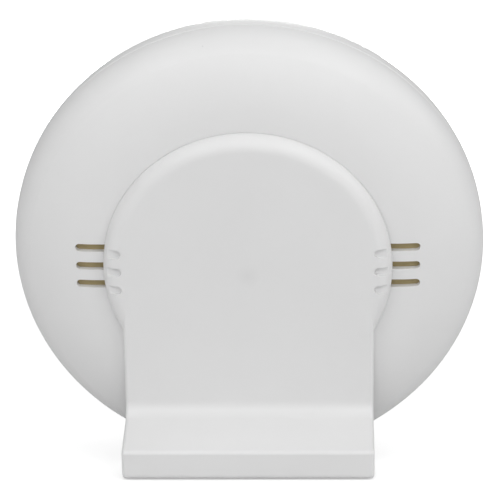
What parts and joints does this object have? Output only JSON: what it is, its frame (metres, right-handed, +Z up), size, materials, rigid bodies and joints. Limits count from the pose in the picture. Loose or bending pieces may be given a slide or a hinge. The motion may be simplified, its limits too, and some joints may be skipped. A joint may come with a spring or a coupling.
{
  "type": "carbon monoxide detector",
  "caption": "Round free-standing carbon monoxide detector: domed two-shell housing with side vents and a test button, on a twist-off stand of cap, leg and foot.",
  "frame": {"origin": "centre of the footprint of the whole device, on the surface that it stands on", "axes": "+Z up; +X to the right as the front is seen, across the disc; -Y is the side that the front faces, and +Y is the side of the stand. The disc leans back by 18 degrees."},
  "size_m": [0.12, 0.0546, 0.1158],
  "materials": {
    "housing_white": "fine satin",
    "stand_white": "fine satin",
    "button_white": "fine satin",
    "pad_rubber": "matte",
    "board_tan": "bare phenolic board",
    "filter_felt": "pressed tan felt",
    "gas_cell_body": "smooth",
    "gas_cell_lid": "smooth",
    "pin_brass": "tinned",
    "sounder_black": "smooth",
    "disc_brass": "rolled",
    "gasket_foam": "foam",
    "lead_red": "smooth insulation",
    "lead_black": "smooth insulation",
    "battery_sleeve": "plain printed sleeve over a can",
    "battery_foam": "foam",
    "contact_nickel": "nickel plated",
    "chip_black": "moulded",
    "can_aluminium": "bright",
    "ferrite_dark": "sintered",
    "resistor_black": "glazed",
    "header_white": "smooth",
    "switch_black": "smooth",
    "plunger_black": "smooth",
    "screw_steel": "zinc plated",
    "pipe_clear": "clear, polished",
    "lamp_green": "tinted epoxy",
    "lamp_red": "tinted epoxy",
    "lamp_amber": "tinted epoxy"
  },
  "bodies": {
    "detector": {"front_housing": "housing_white", "rear_housing": "housing_white", "circuit_board": "board_tan", "vent_filters": "filter_felt", "gas_cell": "gas_cell_body", "gas_cell_cap": "gas_cell_lid", "gas_cell_pins": "pin_brass", "sounder_case": "sounder_black", "sounder_disc": "disc_brass", "sounder_gasket": "gasket_foam", "sounder_lead_red": "lead_red", "sounder_lead_black": "lead_black", "battery_cell": "battery_sleeve", "battery_pad": "battery_foam", "battery_tabs": "contact_nickel", "microcontroller": "chip_black", "amplifier_chip": "chip_black", "capacitors": "can_aluminium", "boost_coil": "ferrite_dark", "resistors": "resistor_black", "service_header": "header_white", "switch_body": "switch_black", "housing_screws": "screw_steel", "board_screws": "screw_steel", "power_light_pipe": "pipe_clear", "alarm_light_pipe": "pipe_clear", "fault_light_pipe": "pipe_clear", "power_lamp": "lamp_green", "alarm_lamp": "lamp_red", "fault_lamp": "lamp_amber"},
    "stand": {"stand": "stand_white", "foot_pads": "pad_rubber"},
    "test_button": {"test_button": "button_white", "switch_plunger": "plunger_black"}
  },
  "joints": [
    {"name": "stand_twist", "type": "hinge", "parent": "detector", "child": "stand", "pos_m": [0, 0.00015, 0.0576], "axis": [0, 0.9511, -0.309], "range_deg": [0, 10]},
    {"name": "test_button_press", "type": "slide", "parent": "detector", "child": "test_button", "axis": [0, 0.9511, -0.309], "range_m": [0, 0.0008], "stiffness_N_per_m": 800, "springref_m": -0.001}
  ]
}
